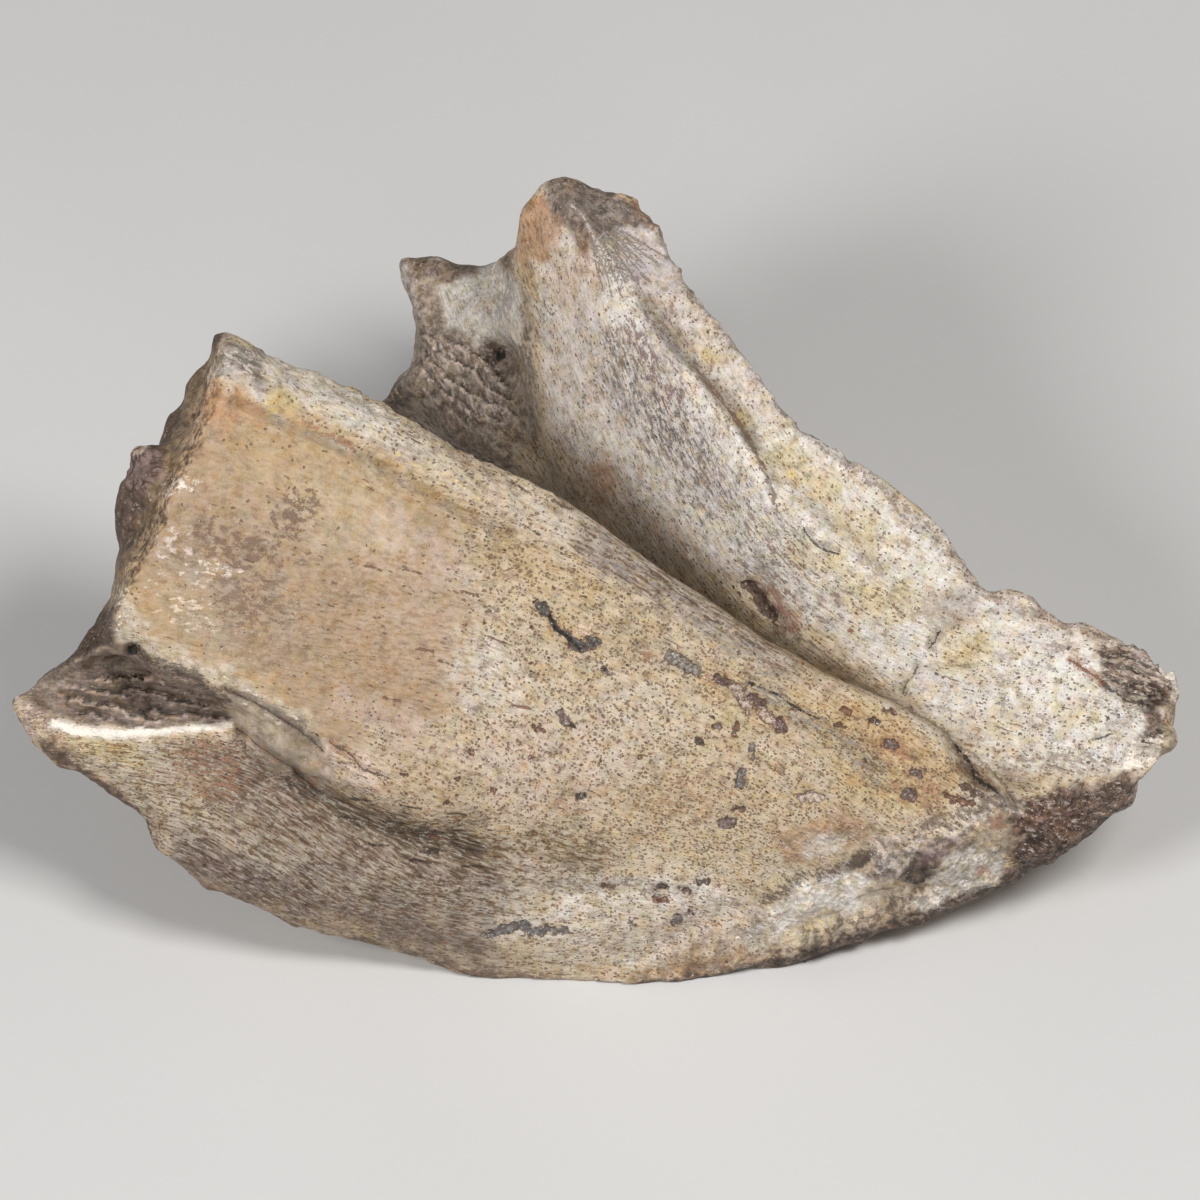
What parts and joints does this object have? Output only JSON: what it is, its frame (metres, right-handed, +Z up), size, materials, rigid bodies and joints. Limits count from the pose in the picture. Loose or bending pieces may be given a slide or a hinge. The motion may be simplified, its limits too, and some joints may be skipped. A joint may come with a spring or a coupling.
{
  "type": "fossil lystrosaurus jaw",
  "caption": "Fossil lower jaw fragment of a lystrosaurus: the rami are grown together in a V and broken at their ends, with matrix in the breaks. It lies on its lower margins.",
  "frame": {"origin": "centre of the bounding box's base, on the surface that the jaw lies on", "axes": "+X along the jaw to its front tip, +Y from the near ramus to the far ramus, +Z up"},
  "size_m": [0.1166, 0.082, 0.0542],
  "materials": {
    "fossil_bone": "porous cream bone with brown matrix and white calcite in the breaks"
  },
  "bodies": {
    "root": {"jaw": "fossil_bone"}
  },
  "joints": []
}
